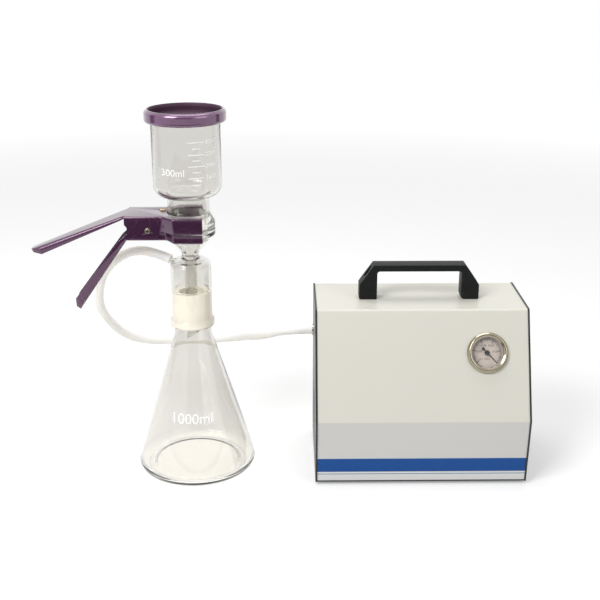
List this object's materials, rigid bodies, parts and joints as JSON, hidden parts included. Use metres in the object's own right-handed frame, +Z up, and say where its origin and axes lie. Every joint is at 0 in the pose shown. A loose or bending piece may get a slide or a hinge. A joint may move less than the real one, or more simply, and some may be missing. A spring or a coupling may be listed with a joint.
{
  "type": "vacuum filtration unit",
  "caption": "Glass funnel and filter base on a conical flask, held by a spring clamp, with a hose to a portable oil-free vacuum pump with a dial gauge and a carrying handle.",
  "frame": {"origin": "middle of the flask's foot, on the bench", "axes": "+X from the flask to the pump, -Y to the front where the gauge looks, +Z up"},
  "size_m": [0.548, 0.1782, 0.4112],
  "materials": {
    "clear_glass": "clear borosilicate, fire polished",
    "sintered_glass": "porous white",
    "filter_membrane": "plain white",
    "purple_cap": "high gloss metallic purple",
    "purple_sheet": "bright purple anodised",
    "bright_steel": "polished",
    "spring_wire": "passivated spring steel wire",
    "silicone_hose": "translucent, smooth",
    "plated_brass": "nickel plated",
    "white_enamel": "smooth baked enamel",
    "black_enamel": "smooth baked enamel",
    "zinc_sheet": "zinc plated",
    "foot_rubber": "moulded matt",
    "black_screw": "blackened",
    "handle_plastic": "moulded fine grain",
    "gauge_black": "black enamel",
    "gauge_glass": "flat window",
    "dial_face": "pale grey print",
    "pointer_black": "satin black",
    "switch_plastic": "moulded",
    "rocker_plastic": "moulded gloss",
    "contact_brass": "plated pins",
    "motor_steel": "grey enamel",
    "ground_steel": "ground",
    "fan_plastic": "moulded",
    "cast_aluminium": "die cast",
    "black_rubber": "moulded",
    "sintered_bronze": "porous",
    "capacitor_can": "drawn"
  },
  "bodies": {
    "unit": {"flask": "clear_glass", "flask_joint": "clear_glass", "filter_base": "clear_glass", "frit_disc": "sintered_glass", "membrane_filter": "filter_membrane", "funnel": "clear_glass", "funnel_bowl": "clear_glass", "funnel_stem": "clear_glass", "lid": "purple_cap", "hose": "silicone_hose", "inlet_barb": "plated_brass", "barb_nut": "plated_brass", "case_cover": "white_enamel", "side_panel_left": "black_enamel", "side_panel_right": "black_enamel", "base_tray": "black_enamel", "foot_screws": "zinc_sheet", "foot_nuts": "zinc_sheet", "panel_screws": "black_screw", "handle": "handle_plastic", "handle_bolts": "black_screw", "handle_nuts": "zinc_sheet", "gauge_can": "gauge_black", "gauge_bezel": "bright_steel", "gauge_lens": "gauge_glass", "gauge_dial": "dial_face", "gauge_bridge": "zinc_sheet", "switch_housing": "switch_plastic", "power_inlet": "switch_plastic", "inlet_pins": "contact_brass", "inlet_screws": "bright_steel", "motor": "motor_steel", "motor_bearings": "ground_steel", "crankcase": "cast_aluminium", "diaphragm": "black_rubber", "valve_plate": "cast_aluminium", "valve_discs": "black_rubber", "pump_head": "cast_aluminium", "head_bolts": "ground_steel", "motor_cradle": "cast_aluminium", "vibration_mounts": "black_rubber", "vacuum_tube": "silicone_hose", "gauge_tube": "silicone_hose", "exhaust_silencer": "sintered_bronze", "motor_capacitor": "capacitor_can", "foot_front_left": "foot_rubber", "foot_front_right": "foot_rubber", "foot_back_left": "foot_rubber", "foot_back_right": "foot_rubber"},
    "upper_jaw": {"upper_jaw": "purple_sheet", "pivot_pin": "bright_steel", "clamp_spring": "spring_wire"},
    "lower_jaw": {"lower_jaw": "purple_sheet"},
    "gauge_pointer": {"gauge_pointer": "pointer_black"},
    "switch_rocker": {"switch_rocker": "rocker_plastic"},
    "rotor": {"motor_shaft": "ground_steel", "cooling_fan": "fan_plastic", "eccentric": "ground_steel"},
    "rod": {"connecting_rod": "cast_aluminium", "diaphragm_washer": "ground_steel"}
  },
  "joints": [
    {"name": "upper_jaw_pivot", "type": "hinge", "parent": "unit", "child": "upper_jaw", "pos_m": [-0.042, 0, 0.2856], "axis": [0, -1, 0], "range_deg": [0, 10], "stiffness_Nm_per_rad": 3, "springref_deg": -17.19, "deforming": ["clamp_spring"]},
    {"name": "lower_jaw_pivot", "type": "hinge", "parent": "unit", "child": "lower_jaw", "pos_m": [-0.042, 0, 0.2856], "axis": [0, -1, 0], "range_deg": [-10, 0]},
    {"name": "pointer_turn", "type": "hinge", "parent": "unit", "child": "gauge_pointer", "pos_m": [0.3248, -0.03232, 0.14879], "axis": [0, -0.9143, 0.4049], "range_deg": [0, 270], "stiffness_Nm_per_rad": 0.001},
    {"name": "rocker_tilt", "type": "hinge", "parent": "unit", "child": "switch_rocker", "pos_m": [0.368, 0.048, 0.128], "axis": [0, -1, 0], "range_deg": [0, 16]},
    {"name": "rotor_spin", "type": "hinge", "parent": "unit", "child": "rotor", "pos_m": [0.232, 0.014, 0.07], "axis": [1, 0, 0], "continuous": true},
    {"name": "rod_stroke", "type": "slide", "parent": "unit", "child": "rod", "axis": [0, 0, 1], "range_m": [-0.0018, 0.0018], "stiffness_N_per_m": 1500, "deforming": ["diaphragm"]}
  ],
  "couplings": [
    {"joint": "lower_jaw_pivot", "follows": "upper_jaw_pivot", "ratio": -1}
  ]
}
